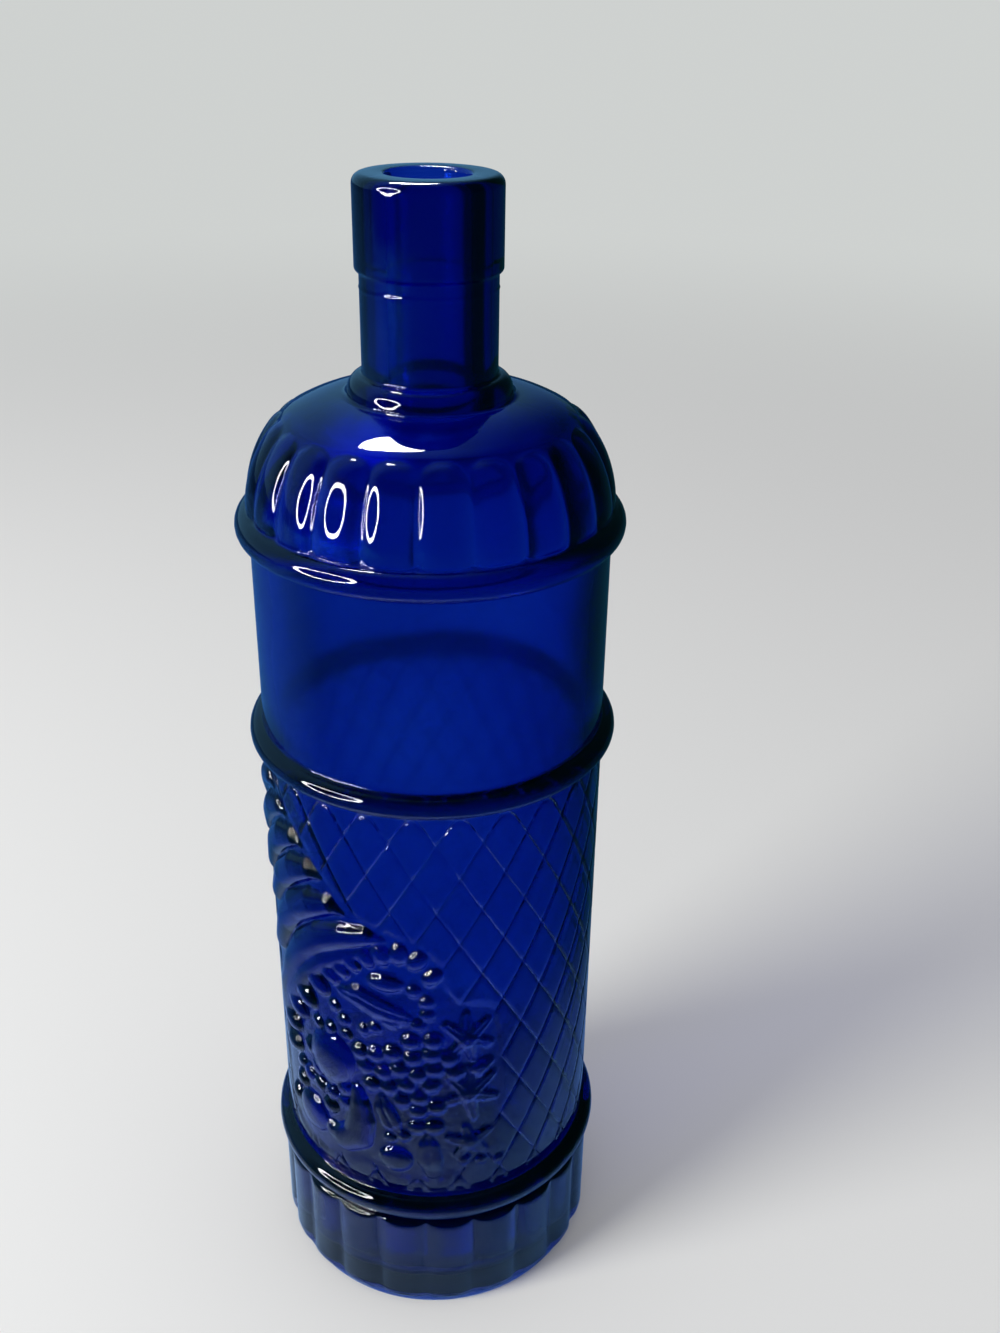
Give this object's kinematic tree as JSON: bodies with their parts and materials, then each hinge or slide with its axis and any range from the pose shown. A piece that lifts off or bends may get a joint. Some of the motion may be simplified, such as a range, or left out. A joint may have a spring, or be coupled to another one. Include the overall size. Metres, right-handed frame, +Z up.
{
  "type": "poison bottle",
  "caption": "Tall round pressed-glass bottle with a fluted shoulder and base, three ring beads, a plain band and a diamond lattice with a horn-of-plenty relief; open cork mouth.",
  "frame": {"origin": "centre of the circle that the foot rests on, at the lowest point of the bottle", "axes": "+Z up along the bottle's axis, out of the mouth; -Y is the side that carries the right half of the relief, -X the side that carries its left half"},
  "size_m": [0.0926, 0.0926, 0.3],
  "materials": {
    "cobalt_glass": "fire-polished, clear cobalt blue",
    "relief_glass": "moulded relief in the same cobalt glass, softly rounded"
  },
  "bodies": {
    "root": {"punted_base": "cobalt_glass", "base_flute_band": "cobalt_glass", "lower_ring": "cobalt_glass", "lattice_band": "cobalt_glass", "middle_ring": "cobalt_glass", "label_band": "cobalt_glass", "upper_ring": "cobalt_glass", "shoulder_flutes": "cobalt_glass", "shoulder_dome": "cobalt_glass", "neck_bead": "cobalt_glass", "neck_tube": "cobalt_glass", "lip_collar": "cobalt_glass", "lattice_pads": "relief_glass", "horn_coils": "relief_glass", "horn_rim_beads": "relief_glass", "right_grapes": "relief_glass", "left_grapes": "relief_glass", "small_berries": "relief_glass", "peach": "relief_glass", "apple": "relief_glass", "pear": "relief_glass", "plum": "relief_glass", "bottom_fruit": "relief_glass", "inner_leaves": "relief_glass", "lower_leaf": "relief_glass", "vine_leaves": "relief_glass"}
  },
  "joints": []
}
